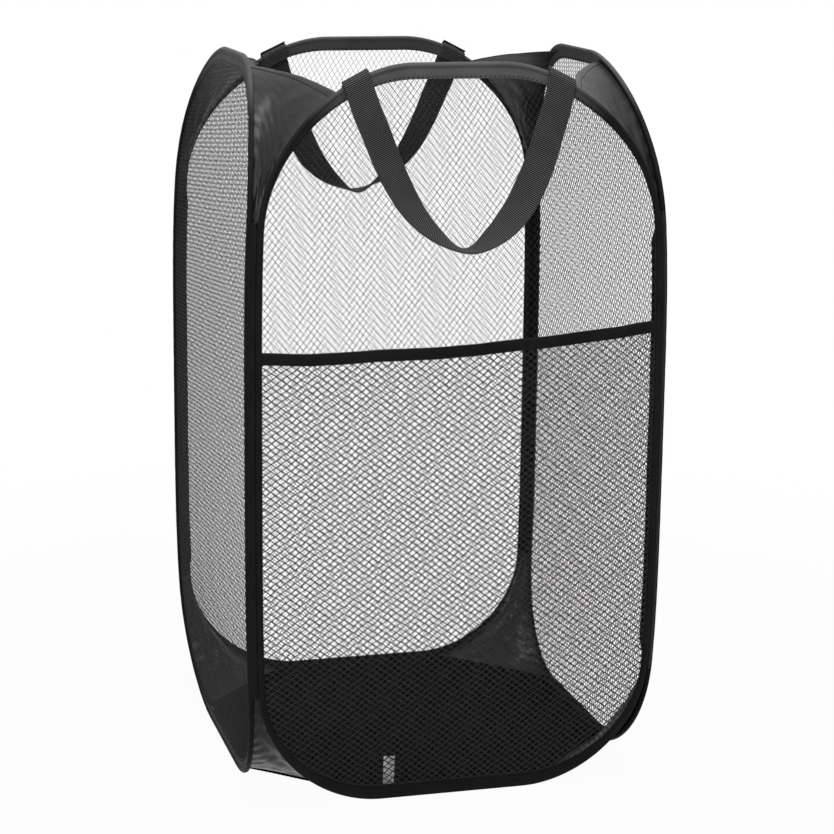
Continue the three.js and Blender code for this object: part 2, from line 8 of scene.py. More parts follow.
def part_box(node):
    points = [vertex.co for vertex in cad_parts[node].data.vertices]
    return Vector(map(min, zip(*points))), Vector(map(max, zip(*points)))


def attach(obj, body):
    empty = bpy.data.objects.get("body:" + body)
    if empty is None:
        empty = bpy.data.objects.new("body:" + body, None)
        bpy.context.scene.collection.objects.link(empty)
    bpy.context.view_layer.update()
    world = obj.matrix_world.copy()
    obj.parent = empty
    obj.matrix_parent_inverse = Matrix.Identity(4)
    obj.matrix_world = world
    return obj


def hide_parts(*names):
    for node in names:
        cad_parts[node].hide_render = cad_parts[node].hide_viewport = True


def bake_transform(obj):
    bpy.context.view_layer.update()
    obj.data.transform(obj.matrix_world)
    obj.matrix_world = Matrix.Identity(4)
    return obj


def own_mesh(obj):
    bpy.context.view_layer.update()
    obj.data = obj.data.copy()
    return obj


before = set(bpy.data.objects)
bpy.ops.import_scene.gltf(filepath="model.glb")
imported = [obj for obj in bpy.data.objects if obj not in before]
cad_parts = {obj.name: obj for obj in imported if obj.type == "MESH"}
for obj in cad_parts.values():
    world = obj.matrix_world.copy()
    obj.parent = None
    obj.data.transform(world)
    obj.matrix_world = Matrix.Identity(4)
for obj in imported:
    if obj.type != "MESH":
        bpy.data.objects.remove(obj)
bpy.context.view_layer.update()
scene = bpy.context.scene
noise.seed_set(4)  # the nets wander alike at every run
print("frame loaded with", len(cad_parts), "parts")

# The hamper's form: four loops of spring wire, upright in the middle and leaning in
# towards the mouth and the floor. The front faces -Y and the others are quarter turns of it
loopLow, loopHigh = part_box("front_rim_binding")
form = {
    "height": loopHigh.z,
    "loopHalf": loopHigh.x,  # from the middle of a loop to its upright edge
    "tapeHalf": 0.0023,  # half the thickness of the tape where it goes round the wire
    "topRadius": 0.129,
    "bottomRadius": 0.104,
    "topLean": 0.024,
    "bottomLean": 0.012,
    "leanPower": 4,
    "foldInset": 0.005,  # from a panel's middle plane to the fold line at the corner
    "neck": 0.004,  # insets up to this are the same all round
    "sideShare": 0.13,  # share that is left at the upright edges of what lies beyond
    "netLayer": 0.0006,  # the front's two nets lie this far to each side of its middle
}
panels = ["front", "right", "back", "left"]
corners = ["front_left", "front_right", "back_right", "back_left"]
panelHalf = -loopLow.y - form["tapeHalf"]
middleHeight = form["height"] / 2
foldLine = panelHalf - form["foldInset"]
diagonal = math.sqrt(0.5)  # how far one step on a diagonal goes along each axis


def leanAt(height):
    share = (height - middleHeight) / middleHeight
    reach = form["topLean"] if share > 0 else form["bottomLean"]
    return reach * abs(share) ** form["leanPower"]


# A place on the front panel: u across it, v up it and n out of it
def onPanel(u, v, n):
    lean = leanAt(v)
    return Vector((u * (1 - lean / panelHalf), -(panelHalf - lean + n), v))


def loopRuns():
    reach = form["loopHalf"]
    low = form["bottomRadius"]
    high = form["topRadius"]
    rise = form["height"] - high
    middles = [
        (reach - low, low, low), (reach - high, rise, high),
        (high - reach, rise, high), (low - reach, low, low)]
    runs = []
    for quarter, (u, v, radius) in enumerate(middles):
        turn = math.radians(90 * (quarter - 1))
        runs.append({
            "length": radius * math.pi / 2, "middle": Vector((u, v)), "radius": radius, "turn": turn})
        nextU, nextV, nextRadius = middles[(quarter + 1) % len(middles)]
        out = Vector((math.cos(turn + math.pi / 2), math.sin(turn + math.pi / 2)))
        start = Vector((u, v)) + out * radius
        end = Vector((nextU, nextV)) + out * nextRadius
        runs.append({"length": (end - start).length, "start": start, "end": end, "out": out})
    return runs


loopParts = loopRuns()
loopLength = sum(run["length"] for run in loopParts)


# A place on a loop's outer edge, the way out of it, and how much it bends there
def loopAt(along):
    along %= loopLength
    for run in loopParts:
        if along <= run["length"]:
            break
        along -= run["length"]
    share = along / run["length"]
    if "radius" not in run:
        return run["start"].lerp(run["end"], share), run["out"], 0
    angle = run["turn"] + share * math.pi / 2
    out = Vector((math.cos(angle), math.sin(angle)))
    return run["middle"] + out * run["radius"], out, math.sin(math.pi * share)


# The folded tape is narrower at the upright edges, where the corner seam takes the rest
def sideInset(inset):
    return min(inset, form["neck"]) + max(0, inset - form["neck"]) * form["sideShare"]


# A place an inset away from a loop's outer edge
def insetFrom(edge, out, inset):
    return Vector((edge.x - out.x * sideInset(inset), edge.y - out.y * inset))


def insideLoop(u, v, inset):
    reach = form["loopHalf"]
    side = sideInset(inset)
    if abs(u) > reach - side or not inset < v < form["height"] - inset:
        return False
    upper = v > middleHeight
    radius = form["topRadius"] if upper else form["bottomRadius"]
    across = (abs(u) - reach + radius) / (radius - side)
    up = (v - form["height"] + radius if upper else radius - v) / (radius - inset)
    return min(across, up) <= 0 or math.hypot(across, up) <= 1


# Ways of making pieces

weldDistance = 1e-6


def quarterTurn(index):
    return Matrix.Rotation(math.radians(90) * index, 4, "Z")


# A grid of faces laid by place(s, t), s and t from 0 to 1, mapped in metres
def layCloth(columns, rows, place, size):
    bm = bmesh.new()
    chart = bm.loops.layers.uv.new("cloth")
    bmesh.ops.create_grid(bm, x_segments=columns, y_segments=rows, size=0.5)
    for face in bm.faces:
        for corner in face.loops:
            flat = corner.vert.co
            corner[chart].uv = ((flat.x + 0.5) * size[0], (flat.y + 0.5) * size[1])
    for vert in bm.verts:
        vert.co = place(vert.co.x + 0.5, vert.co.y + 0.5)
    return bm


# A closed band of cloth: place(s, spot) lays each spot of its ring along it
def layBand(stations, ring, place, size):
    count = len(ring)
    bm = layCloth(stations, count, lambda s, t: place(s, ring[round(t * count) % count]), size)
    bmesh.ops.remove_doubles(bm, verts=bm.verts, dist=weldDistance)
    rims = [edge for edge in bm.edges if edge.is_boundary]
    if rims:
        bmesh.ops.holes_fill(bm, edges=rims, sides=0)
    bmesh.ops.recalc_face_normals(bm, faces=bm.faces)
    return bm


# The ring round both faces of a tape, from one face's places down and out
def bothFaces(section):
    return section + [(down, -out) for down, out in reversed(section[1:])]


def unevenness(along, across, scales, seed):
    return noise.noise(Vector((along * scales[0], across * scales[1], seed)))


def addObject(name, data):
    made = bpy.data.objects.new(name, data)
    scene.collection.objects.link(made)
    return made


def meshObject(bm, name, material):
    mesh = bpy.data.meshes.new(name)
    bm.to_mesh(mesh)
    bm.free()
    mesh.materials.append(material)
    return addObject(name, mesh)


def keepPiece(bm, name, material, turn=0):
    bmesh.ops.transform(bm, matrix=quarterTurn(turn), verts=bm.verts)
    for face in bm.faces:
        face.smooth = True
    piece = meshObject(bm, name, material)
    return piece


def thicken(piece, thickness):
    solid = piece.modifiers.new("thickness", "SOLIDIFY")
    solid.thickness = thickness
    solid.offset = 0


# One bead of sewing thread from start to end, lying on cloth that faces away
def addStitch(bm, start, end, away, radius):
    along = (end - start) / 2
    side = away.cross(along).normalized() * radius
    up = along.cross(side).normalized() * radius
    shape = Matrix((along, side, up)).transposed().to_4x4()
    shape.translation = (start + end) / 2
    bmesh.ops.create_icosphere(bm, subdivisions=1, radius=1, matrix=shape)


# Finishes

# An output of a node: sums on it add Math nodes
class Link:
    def __init__(self, maker, socket):
        self.maker = maker
        self.socket = socket

    def part(self, name):
        return Link(self.maker, self.socket.node.outputs[name])

    def maths(self, operation, first, second):
        return self.maker.node("Math", {"operation": operation}, {0: first, 1: second})

    def __add__(self, other):
        return self.maths("ADD", self, other)

    def __radd__(self, other):
        return self.maths("ADD", other, self)

    def __sub__(self, other):
        return self.maths("SUBTRACT", self, other)

    def __rsub__(self, other):
        return self.maths("SUBTRACT", other, self)

    def __mul__(self, other):
        return self.maths("MULTIPLY", self, other)

    def __rmul__(self, other):
        return self.maths("MULTIPLY", other, self)


class NodeMaker:
    def __init__(self, tree):
        self.tree = tree
        tree.nodes.clear()

    def node(self, kind, settings=None, values=None, output=0):
        made = self.tree.nodes.new("ShaderNode" + kind)
        for name, value in (settings or {}).items():
            setattr(made, name, value)
        for name, value in (values or {}).items():
            if isinstance(value, Link):
                self.tree.links.new(value.socket, made.inputs[name])
            else:
                made.inputs[name].default_value = value
        return Link(self, made.outputs[output]) if made.outputs else None

    def ripple(self, along, pitch):
        return self.node("Math", {"operation": "SINE"}, {0: along * (2 * math.pi / pitch)})

    def clouds(self, place, scale, detail):
        return self.node("TexNoise", None, {"Vector": place, "Scale": scale, "Detail": detail})

    def objectPlace(self):
        return self.node("TexCoord", output="Object")

    # Metres along and across a piece's own cloth
    def clothPlace(self):
        return self.node("SeparateXYZ", None, {0: self.node("UVMap", {"uv_map": "cloth"})})

    def blendColours(self, share, first, second):
        return self.node("Mix", {"data_type": "RGBA"}, {0: share, 6: first, 7: second}, output=2)

    def easeOver(self, value, low, high, first, second):
        return self.node("MapRange", {"interpolation_type": "SMOOTHSTEP"}, {
            "Value": value, "From Min": low, "From Max": high, "To Min": first, "To Max": second})

    # The finish, with its relief raised on it
    def cover(self, look, relief, values):
        bump = self.node("Bump", None, {
            "Strength": look["bump"], "Distance": look["bumpHeight"], "Height": relief})
        shader = self.node("BsdfPrincipled", None, dict(values, Normal=bump))
        self.node("OutputMaterial", None, {"Surface": shader})


def newFinish(name):
    material = bpy.data.materials.new(name)
    material.use_nodes = True
    return material, NodeMaker(material.node_tree)


def grey(level):
    return (level, level, level, 1)


# Cloth woven of threads that run along and across the piece's own map
def wovenFinish(name, look):
    material, maker = newFinish(name)
    flat = maker.clothPlace()
    warp = maker.ripple(flat.part("X"), look["warpPitch"])
    weft = maker.ripple(flat.part("Y"), look["weftPitch"])
    weave = warp * weft * 0.5 + 0.5
    place = maker.objectPlace()
    patches = maker.clouds(place, look["patchScale"], 4.0)
    slubs = maker.clouds(place, look["slubScale"], 2.0)
    shade = patches * look["patchShare"] + weave * look["weaveShare"] + slubs * look["slubShare"]
    colour = maker.blendColours(shade, grey(look["dark"]), grey(look["light"]))
    # Painted light: above a given height the cloth takes a lighter colour, for the light on the top of the
    # hamper
    topLitColour = maker.blendColours(shade, grey(look["topLitDark"]), grey(look["topLitLight"]))
    height = maker.node("SeparateXYZ", None, {0: place}).part("Z")
    paintedLightShare = maker.easeOver(height, look["topLitFrom"], look["topLitTo"], 0.0, 1.0)
    maker.cover(look, weave + slubs * look["slubRelief"], {
        "Base Color": maker.blendColours(paintedLightShare, colour, topLitColour),
        "Roughness": look["roughness"] + (slubs - 0.5) * look["roughnessSpread"],
        "Specular IOR Level": look["specular"],
    })
    return material


tapeLook = {
    "dark": 0.003, "light": 0.027,
    "topLitDark": 0.04, "topLitLight": 0.14,  # painted light: lighter colours above these heights, where the top of the hamper catches the light
    "topLitFrom": 0.56, "topLitTo": 0.6,
    "patchShare": 0.6, "weaveShare": 0.25, "slubShare": 0.15, "slubRelief": 0.5,
    "roughness": 0.5, "roughnessSpread": 0.3, "specular": 0.02,
    "warpPitch": 0.0007, "weftPitch": 0.00055, "patchScale": 35.0, "slubScale": 900.0,
    "bump": 0.5, "bumpHeight": 0.00008,
}
# The gussets' taffeta, also painted lighter above its own height
taffetaLook = dict(
    tapeLook, dark=0.004, light=0.022, topLitDark=0.007, topLitLight=0.03, topLitFrom=0.5,
    roughness=0.3, roughnessSpread=0.2, specular=0.2,
    warpPitch=0.00042, weftPitch=0.00036, patchScale=22.0, slubScale=1200.0,
    bump=0.35, bumpHeight=0.00004)
# The base is the gussets' taffeta painted darker: painted shade inside the hamper
baseLook = dict(taffetaLook, dark=0.003, light=0.012, roughness=0.6, specular=0.0)
tagLook = dict(
    tapeLook, dark=0.8, light=0.92, roughness=0.6, specular=0.4,
    warpPitch=0.0004, weftPitch=0.0004, bumpHeight=0.00005)


# Ribbed webbing: the ribs cross the strap, and their crests are painted lighter and their valleys darker, a
# painted highlight and painted shade on the ribs
webbingLook = {
    "ribPitch": 0.0015, "yarnPitch": 0.0009, "fuzzScale": 1400.0, "wearScale": 45.0,
    "dark": 0.0005, "light": 0.2,
    "crestShare": 0.55, "yarnShare": 0.15, "wearShare": 0.3, "smoothShare": 0.8, "fuzzShare": 0.4,
    "roughness": 0.6, "valleyRoughness": 0.15, "roughnessSpread": 0.2, "specular": 0.02,
    "ribRelief": 0.4, "yarnRelief": 0.3, "fuzzRelief": 0.4, "bump": 0.4, "bumpHeight": 0.0001,
}


def webbingFinish(look):
    material, maker = newFinish("ribbed_webbing")
    flat = maker.clothPlace()
    ribs = maker.ripple(flat.part("X"), look["ribPitch"]) * 0.5 + 0.5
    yarns = maker.ripple(flat.part("Y"), look["yarnPitch"]) * 0.5 + 0.5
    place = maker.objectPlace()
    fuzz = maker.clouds(place, look["fuzzScale"], 3.0)
    wear = maker.clouds(place, look["wearScale"], 3.0)
    # Painted highlight on the rib crests and painted shade in the valleys, its strength varied by the yarns
    # and by random wear
    paintedLightShare = look["crestShare"] + yarns * look["yarnShare"] + wear * look["wearShare"]
    shade = ribs * ribs * ribs * paintedLightShare * (look["smoothShare"] + fuzz * look["fuzzShare"])
    rough = look["roughness"] + (1 - ribs) * look["valleyRoughness"]
    relief = ribs * look["ribRelief"] + yarns * look["yarnRelief"] + fuzz * look["fuzzRelief"]
    maker.cover(look, relief, {
        "Base Color": maker.blendColours(shade, grey(look["dark"]), grey(look["light"])),
        "Roughness": rough + (fuzz - 0.5) * look["roughnessSpread"],
        "Specular IOR Level": look["specular"],
    })
    return material


# Yarn of the nets and sewing thread, twisted and a little fuzzy
def yarnFinish(name, look):
    material, maker = newFinish(name)
    place = maker.objectPlace()
    twist = maker.clouds(place, look["twistScale"], 3.0)
    patches = maker.clouds(place, look["patchScale"], 2.0)
    shade = twist * 0.5 + patches * 0.5
    maker.cover(look, twist, {
        "Base Color": maker.blendColours(shade, grey(look["dark"]), grey(look["light"])),
        "Roughness": look["roughness"] + (twist - 0.5) * look["roughnessSpread"],
        "Specular IOR Level": look["specular"],
    })
    return material


netLook = {
    "dark": 0.022, "light": 0.07, "twistScale": 1500.0, "patchScale": 14.0,
    "roughness": 0.6, "roughnessSpread": 0.2, "specular": 0.05, "bump": 0.4, "bumpHeight": 0.00006,
}
# Black sewing thread, painted darker than the tape: painted shade of the needle holes the stitches sink into
threadLook = dict(netLook, dark=0.001, light=0.003, specular=0.0, twistScale=2500.0)


# Drawn steel
def steelFinish(name, look):
    material, maker = newFinish(name)
    marks = maker.clouds(maker.objectPlace(), look["markScale"], 4.0)
    maker.cover(look, marks, {
        "Base Color": maker.blendColours(marks, grey(look["dark"]), grey(look["light"])),
        "Metallic": 1.0,
        "Roughness": look["roughness"] + (marks - 0.5) * look["roughnessSpread"],
    })
    return material


wireLook = {
    "dark": 0.3, "light": 0.42, "markScale": 600.0,
    "roughness": 0.32, "roughnessSpread": 0.2, "bump": 0.2, "bumpHeight": 0.00004,
}
sleeveLook = dict(wireLook, dark=0.42, light=0.56, roughness=0.38, markScale=300.0)

finishes = {
    "tape": wovenFinish("binding_tape", tapeLook),
    "taffeta": wovenFinish("gusset_taffeta", taffetaLook),
    "base": wovenFinish("base_cloth", baseLook),
    "tag": wovenFinish("tag_ribbon", tagLook),
    "webbing": webbingFinish(webbingLook),
    "net": yarnFinish("net_yarn", netLook),
    "thread": yarnFinish("sewing_thread", threadLook),
    "steel": steelFinish("spring_wire", wireLook),
    "sleeve": steelFinish("crimped_sleeve", sleeveLook),
}
print("finishes made")

# Wires and their sleeves keep the shapes that they have in the frame
for panel in panels:
    for part, finish in (("frame_wire", "steel"), ("wire_ferrule", "sleeve")):
        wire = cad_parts[panel + "_" + part]
        wire.data.materials.clear()
        wire.data.materials.append(finishes[finish])

# Binding tape, folded over the wire and the edge of the net
binding = {
    "width": 0.013,
    "bandHalf": 0.0008,  # half the thickness of the flat part of the fold
    "lipHalf": 0.0004,  # taken off it towards the cut edge
    "lipFromShare": 0.97,
    "lipShare": 0.03,
    "insetShares": [1, 0.985, 0.95, 0.915, 0.885, 0.855, 0.82, 0.72, 0.6, 0.49, 0.4, 0.33, 0.26, 0.19, 0.12,
                    0.06, 0.02],
    "stations": 576,
    "dipDepth": 0.0002,  # the stitches draw it in along a groove
    "dipWidth": 0.0006,
    "puckerPitch": 0.0068,
    "puckerHeight": 0.00028,
    "puckerShift": 2,  # how unevenly the puckers follow each other
    "rumple": 0.00022,
    "rumpleScales": (70, 90),  # along the tape and across it
    "slant": 0.00012,
    "slantScales": (140, 40),
    "slantSeed": 9,
    "seedStep": 3.7,  # from one panel to the next
}
stitching = {"inset": 0.0114, "pitch": 0.0045, "length": 0.0027, "radius": 0.0003}


# The front's binding holds the pocket's net too
def layersIn(panel):
    return 2 if panel == "front" else 1


# Half the thickness of the folded tape: it swells round the wire and dips at the stitches
def bandHeight(inset, layers):
    pipe = form["tapeHalf"]
    swell = math.sqrt(max(0, pipe ** 2 - (inset - pipe) ** 2))
    if inset < pipe:
        return swell
    lip = (inset - binding["width"] * binding["lipFromShare"]) / (binding["width"] * binding["lipShare"])
    flat = binding["bandHalf"] + (layers - 1) * form["netLayer"] - binding["lipHalf"] * max(0, lip)
    dip = binding["dipDepth"] * math.exp(-((inset - stitching["inset"]) / binding["dipWidth"]) ** 2)
    return max(swell, flat) - dip


# How far the tape stands off its even line: gathers on the arcs and soft waves elsewhere
def tapeWave(along, inset, bend, side, turn):
    share = inset / binding["width"]
    seed = turn * binding["seedStep"]
    soft = unevenness(along, inset, binding["rumpleScales"], seed)
    slant = unevenness(along + side * inset, inset, binding["slantScales"], seed + binding["slantSeed"])
    pucker = math.sin(2 * math.pi * along / binding["puckerPitch"] + binding["puckerShift"] * soft)
    gathered = pucker * binding["puckerHeight"] * bend * share ** 2
    return binding["rumple"] * soft * share + gathered + slant * binding["slant"]


def makeBinding(panel, turn):
    shares = binding["insetShares"]
    ring = [(share, 1) for share in shares] + [(0, 0)] + [(share, -1) for share in reversed(shares)]

    def place(s, spot):
        share, side = spot
        along = s % 1 * loopLength
        inset = share * binding["width"]
        edge, out, bend = loopAt(along)
        wave = tapeWave(along, inset, bend, side, turn)
        flat = insetFrom(edge, out, inset)
        return onPanel(flat.x, flat.y, side * bandHeight(inset, layersIn(panel)) + wave)

    bm = layBand(binding["stations"], ring, place, (loopLength, binding["width"] * 2))
    piece = keepPiece(bm, panel + "_binding_tape", finishes["tape"], turn)
    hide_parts(panel + "_rim_binding")
    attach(piece, panel)


def makeStitching(panel, turn):
    inset = stitching["inset"]
    lift = bandHeight(inset, layersIn(panel)) + stitching["radius"] / 2
    bm = bmesh.new()
    count = round(loopLength / stitching["pitch"])
    for side in (1, -1):
        for index in range(count):
            ends = []
            for end in (-0.5, 0.5):
                along = loopLength * index / count + end * stitching["length"]
                edge, out, bend = loopAt(along)
                height = side * lift + tapeWave(along, inset, bend, side, turn)
                flat = insetFrom(edge, out, inset)
                ends.append(onPanel(flat.x, flat.y, height))
            addStitch(bm, ends[0], ends[1], Vector((0, -side, 0)), stitching["radius"])
    piece = keepPiece(bm, panel + "_binding_stitches", finishes["thread"], turn)
    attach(piece, panel)


for turn, panel in enumerate(panels):
    makeBinding(panel, turn)
    makeStitching(panel, turn)
print("bindings made")

# Nets: warp knitted diamonds, whose threads run side by side in a knot where they meet
weaves = {
    "front": {"across": 0.0057, "up": 0.0067, "skew": 0.14, "thread": 0.0003},
    "right": {"across": 0.0058, "up": 0.0074, "skew": -0.06, "thread": 0.00064},
    "back": {"across": 0.0053, "up": 0.0078, "skew": 0.03, "thread": 0.00023},
    "left": {"across": 0.0058, "up": 0.0074, "skew": 0.1, "thread": 0.00056},
    "pocket": {"across": 0.0079, "up": 0.0057, "skew": 0.02, "thread": 0.0008},
}
net = {
    "flatness": 0.8,
    "knot": 0.00012,  # added to a knot at each end
    "tuck": 0.0095,  # from the loop's outer edge to the cut edge of the net
    "spareCells": 4,
    "drift": 0.0012,  # how far the weave wanders
    "driftScale": 7,
    "slack": 0.0006,  # and how far single threads do
    "slackScale": 160,
    "seedStep": 1.7,
}


# Threads are a slanted grid whose edges are given thickness, stretched at their joints
def weaveNet(keep, place, weave, seed):
    cellU = weave["across"] / 2
    cellV = weave["up"] / 2
    reach = form["loopHalf"] / cellU + middleHeight / cellV
    cells = 2 * math.ceil(reach / 2) + net["spareCells"]
    bm = bmesh.new()
    bmesh.ops.create_grid(bm, x_segments=cells, y_segments=cells, size=cells / 2)
    bmesh.ops.rotate(bm, verts=bm.verts, cent=(0, 0, 0), matrix=Matrix.Rotation(math.radians(45), 3, "Z"))
    root = math.sqrt(2)
    bmesh.ops.scale(bm, verts=bm.verts, vec=(cellU * root, cellV * root, 1))

    def laid(point):
        spot = Vector((point.x, point.y, seed))
        drift = noise.noise_vector(spot * net["driftScale"]) * net["drift"]
        drift += noise.noise_vector(spot * net["slackScale"]) * net["slack"]
        v = middleHeight + point.y + point.x * weave["skew"]
        return Vector((point.x + drift.x, v + drift.y, point.z))

    outside = [face for face in bm.faces if not keep(laid(face.calc_center_median()))]
    bmesh.ops.delete(bm, geom=outside, context="FACES")
    bmesh.ops.wireframe(bm, faces=bm.faces, thickness=weave["thread"], use_replace=True, use_boundary=True,
                        use_even_offset=True)
    sideways = weave["across"] > weave["up"]
    for vert in bm.verts:
        i = vert.co.x / cellU
        j = vert.co.y / cellV
        rising = round((i + j) / 2)
        falling = round((i - j) / 2)
        gap = Vector(((i - (rising + falling)) * cellU, (j - (rising - falling)) * cellV))
        vert.co.z *= net["flatness"]
        if sideways and abs(gap.x) > abs(gap.y):
            vert.co.x += math.copysign(net["knot"], gap.x)
        elif not sideways and abs(gap.y) > abs(gap.x):
            vert.co.y += math.copysign(net["knot"], gap.y)
    for vert in bm.verts:
        vert.co = place(*laid(vert.co))
    return bm


def makeNet(panel, turn):
    layer = -form["netLayer"] if panel == "front" else 0
    bm = weaveNet(
        lambda point: insideLoop(point.x, point.y, net["tuck"]),
        lambda u, v, n: onPanel(u, v, n + layer), weaves[panel], turn * net["seedStep"])
    piece = keepPiece(bm, panel + "_netting", finishes["net"], turn)
    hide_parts(panel + "_net")
    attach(piece, panel)


pocket = {
    "leftHeight": 0.386,
    "rightHeight": 0.400,
    "sag": 0.002,  # how far the middle of the mouth hangs below a straight line
    "bulge": 0.022,
    "bulgePower": 1.3,
    "edge": 0.014,  # from the loop's outer edge to where the pocket leaves the front
    "seed": 11.3,
}
pocketHalf = form["loopHalf"] - sideInset(pocket["edge"])


def pocketTop(u):
    share = u / pocketHalf
    level = (pocket["leftHeight"] + pocket["rightHeight"]) / 2
    rise = (pocket["rightHeight"] - pocket["leftHeight"]) / 2
    return level + rise * share - pocket["sag"] * max(0, 1 - share ** 2)


def pocketFloor(u):
    radius = form["bottomRadius"]
    past = max(0, abs(u) - form["loopHalf"] + radius) / (radius - sideInset(pocket["edge"]))
    return radius - (radius - pocket["edge"]) * math.sqrt(max(0, 1 - past ** 2))


# The pocket stands off the front more and more towards its mouth
def onPocket(u, v, n):
    across = max(0, 1 - (u / pocketHalf) ** 2)
    floor = pocketFloor(u)
    up = max(0, (v - floor) / (pocket["leftHeight"] - floor))
    return onPanel(u, v, form["netLayer"] + pocket["bulge"] * across * up ** pocket["bulgePower"] + n)


# Tape folded over the pocket's upper edge, with a welt where it is sewn
pocketTape = {
    "width": 0.010,
    "half": 0.0009,
    "endReach": 0.003,  # its ends run this far past the pocket's edges
    "stations": 240,
    "sectionShares": [
        (0, 0), (0.02, 0.55), (0.08, 0.9), (0.2, 1), (0.4, 0.92), (0.58, 1), (0.66, 0.7), (0.7, 0.7),
        (0.78, 1), (0.92, 0.9), (1, 0.6)],
    "waves": [(22, 3.1, 0.0011), (60, 7.7, 0.0004)],  # scale, seed and height of each
    "waveSeed": 0.4,
    "ripple": 0.00035,
    "rippleScales": (90, 2.2),
    "rippleSeed": 1.3,
}


def makePocketNet():
    half = pocketTape["width"] / 2
    bm = weaveNet(
        lambda point: insideLoop(point.x, point.y, net["tuck"]) and point.y < pocketTop(point.x) - half,
        onPocket, weaves["pocket"], pocket["seed"])
    piece = keepPiece(bm, "pocket_netting", finishes["net"])
    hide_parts("pocket_net")
    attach(piece, "front")


def makePocketTape():
    tape = pocketTape
    reach = pocketHalf + tape["endReach"]

    def place(s, spot):
        down, out = spot
        u = reach * (2 * s - 1)
        wave = 0
        for scale, seed, size in tape["waves"]:
            wave += noise.noise(Vector((u * scale, seed, tape["waveSeed"]))) * size
        alongScale, downScale = tape["rippleScales"]
        ripple = noise.noise(Vector((u * alongScale + down, down * downScale, tape["rippleSeed"])))
        height = out * tape["half"] + ripple * tape["ripple"]
        return onPocket(u, pocketTop(u) + wave - down * tape["width"], height)

    bm = layBand(tape["stations"], bothFaces(tape["sectionShares"]), place, (reach * 2, tape["width"] * 2))
    piece = keepPiece(bm, "pocket_tape", finishes["tape"])
    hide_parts("pocket_binding")
    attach(piece, "front")


for turn, panel in enumerate(panels):
    makeNet(panel, turn)
makePocketNet()
makePocketTape()
print("nets made")

# Gussets: taffeta stretched across each corner between the arcs of two loops
gusset = {
    "seam": 0.006,  # from the loop's outer edge to the sewn edge
    "topHandleAngle": 58,  # up the arc to the hem on a panel with a handle
    "topSideAngle": 80,  # and on one without
    "bottomAngle": 84,
    "topSag": 0.009,
    "bottomSag": 0.008,
    "topRise": 0.25,  # how far a sag goes up for each step inwards
    "bottomRise": 0.5,
    "straightPower": 4,  # a lower gusset's folds fade out towards its hem
    "thickness": 0.00035,
    "columns": 72,
    "rows": 64,
    "gatherHeight": 0.0015,
    "gatherCount": 11,
    "gatherReach": 0.12,  # the gathers fade within this share of the width
    "gatherPower": 0.3,
    "gatherShift": 3,
    "gatherScales": (5, 2),  # up the gusset and along it
    "creaseHeight": 0.0011,
    "creaseShare": 2.2,  # broad creases to each fine one
    "creaseScales": (7, 4, 3),
    "fineScales": (16, -7, 5),
    "fineSeed": 4,
    "seedStep": 2.9,
    "bottomSeed": 31,
}
hem = {
    "width": 0.008,
    "half": 0.0005,
    "endShare": 0.004,  # it stops this far from the gusset's sewn edges
    "upStep": 0.01,  # steps for finding which way the cloth faces
    "alongStep": 0.004,
    "sectionShares": [
        (0, 0), (0.04, 0.8), (0.15, 1), (0.24, 0.75), (0.33, 1), (0.6, 1), (0.7, 0.75), (0.8, 1), (1, 0.9)],
}


def gussetEdge(angle, atTop):
    radius = form["topRadius"] if atTop else form["bottomRadius"]
    turn = math.radians(angle)
    seam = gusset["seam"]
    u = -(form["loopHalf"] - radius + (radius - sideInset(seam)) * math.cos(turn))
    rise = (radius - seam) * math.sin(turn)
    v = form["height"] - radius + rise if atTop else radius - rise
    return onPanel(u, v, -bandHeight(seam, 1))


# How far up the arcs the two ends of a gusset's hem are
def hemAngles(turn, atTop):
    if not atTop:
        return gusset["bottomAngle"], gusset["bottomAngle"]
    angles = gusset["topHandleAngle"], gusset["topSideAngle"]
    return angles[turn % 2], angles[1 - turn % 2]


# A place on the gusset of the corner between the left and front panels: up its arc and
# along from the front to the left
def onGusset(up, along, atTop, turn):
    seed = turn * gusset["seedStep"] + (0 if atTop else gusset["bottomSeed"])
    first, second = hemAngles(turn, atTop)
    start = gussetEdge(first * up, atTop)
    other = gussetEdge(second * up, atTop)
    end = Vector((other.y, other.x, other.z))
    belly = math.sin(math.pi * along)
    if atTop:
        depth = gusset["topSag"] * belly * math.sin(math.pi / 2 * up)
    else:
        depth = gusset["bottomSag"] * belly * math.sin(math.pi * max(0, min(1, up)))
        belly *= max(0, 1 - up ** gusset["straightPower"])
    nearSeam = math.exp(-min(along, 1 - along) / gusset["gatherReach"]) * belly ** gusset["gatherPower"]
    upScale, alongScale = gusset["gatherScales"]
    shift = noise.noise(Vector((up * upScale, seed, along * alongScale)))
    ruffle = math.sin(2 * math.pi * gusset["gatherCount"] * up + gusset["gatherShift"] * shift)
    broad, fine = [
        noise.noise(Vector((up * scales[0] + along * scales[1], along * scales[2], seed + step)))
        for scales, step in ((gusset["creaseScales"], 0), (gusset["fineScales"], gusset["fineSeed"]))]
    depth += gusset["gatherHeight"] * ruffle * nearSeam
    depth += gusset["creaseHeight"] * belly * (gusset["creaseShare"] * broad + fine)
    inwards = Vector((diagonal, diagonal, gusset["topRise"] if atTop else gusset["bottomRise"]))
    return start.lerp(end, along) + inwards * depth


def followCorner(piece, corner):
    if corner == "back_right":
        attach(piece, "right")
        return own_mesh(piece)
    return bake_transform(piece)


